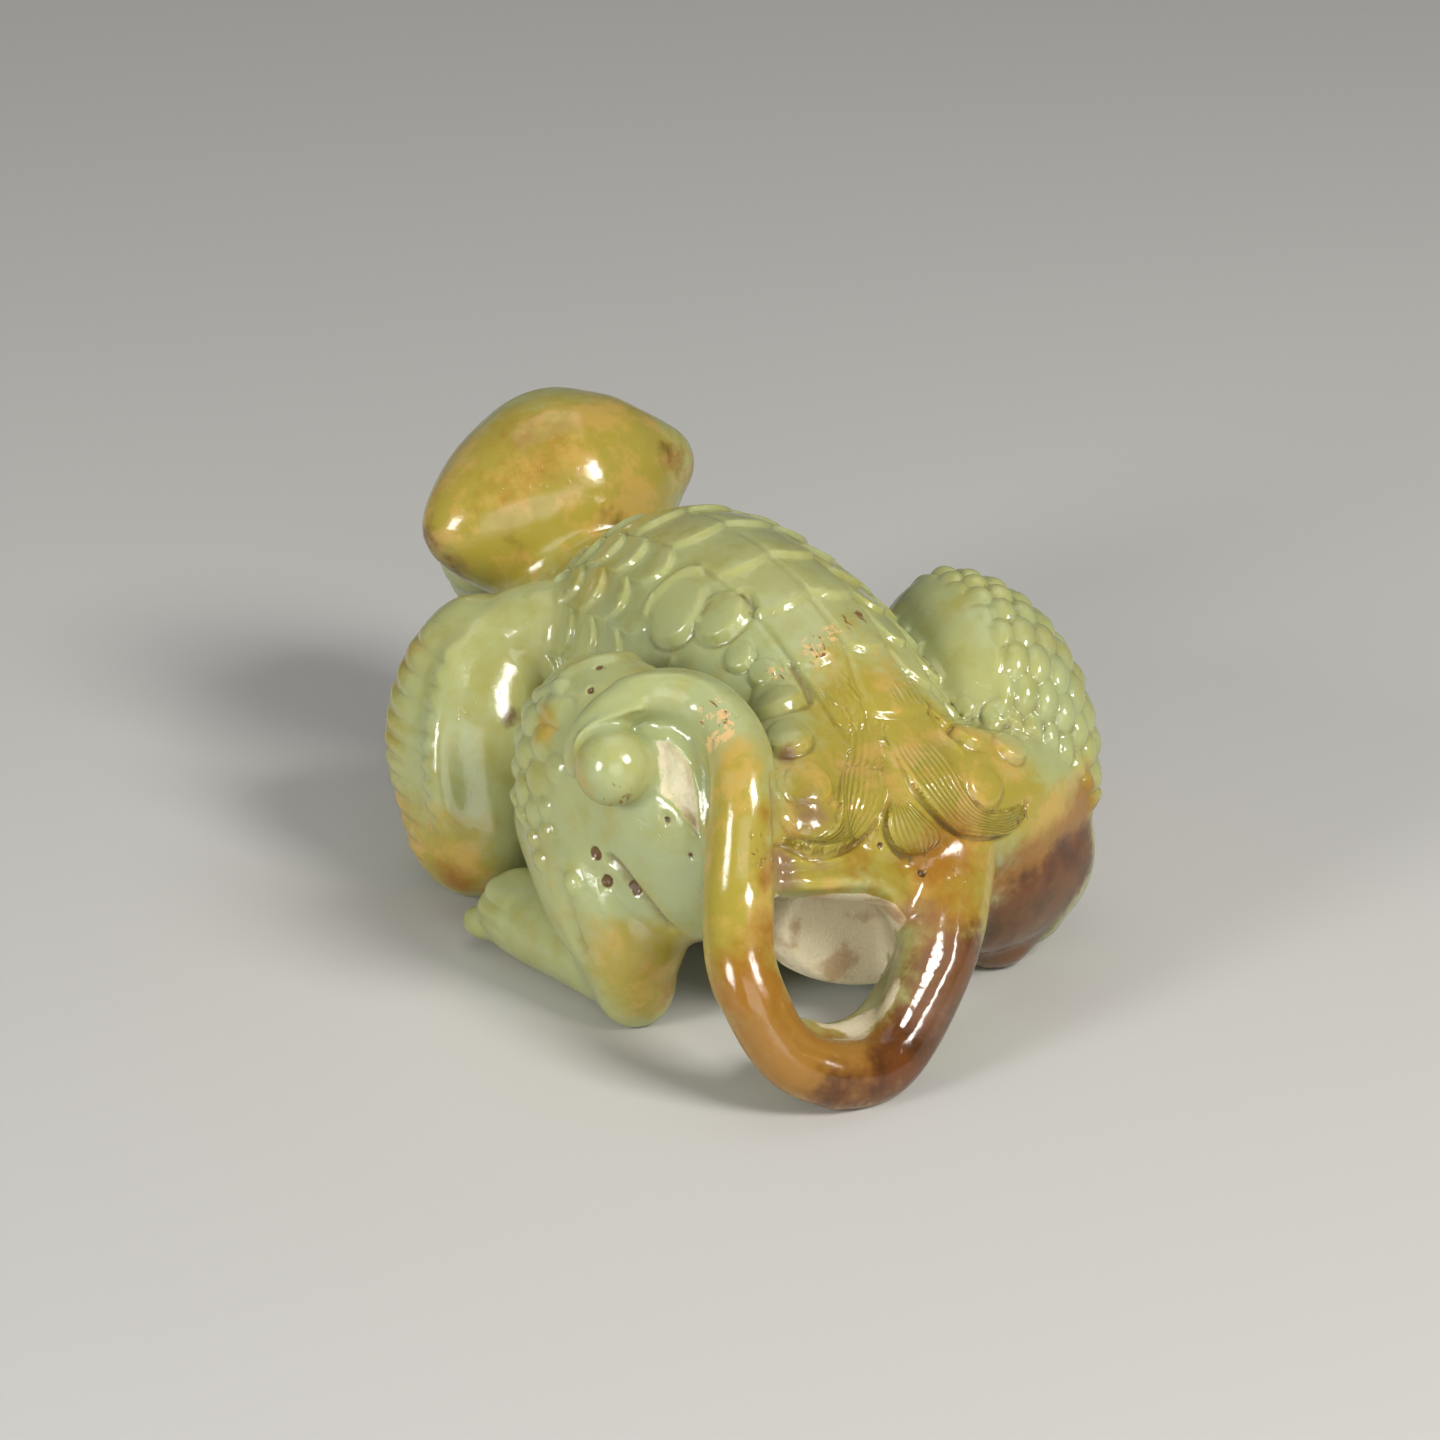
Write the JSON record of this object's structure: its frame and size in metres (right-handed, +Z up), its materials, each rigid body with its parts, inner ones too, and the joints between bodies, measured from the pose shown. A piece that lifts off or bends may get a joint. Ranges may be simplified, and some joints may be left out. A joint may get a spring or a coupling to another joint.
{
  "type": "carved jade beast",
  "caption": "Small crouching beast carved from one jade pebble, with a plated back and scaled thighs. Its tail hangs in a free loop and curls round a ball on the left thigh",
  "frame": {"origin": "middle of the footprint, on the surface that it stands on", "axes": "+Z up, +Y the way the beast faces, +X its right side"},
  "size_m": [0.037, 0.0626, 0.0265],
  "materials": {
    "jade": "polished celadon jade with russet and honey skin"
  },
  "bodies": {
    "root": {"jade_carving": "jade"}
  },
  "joints": []
}
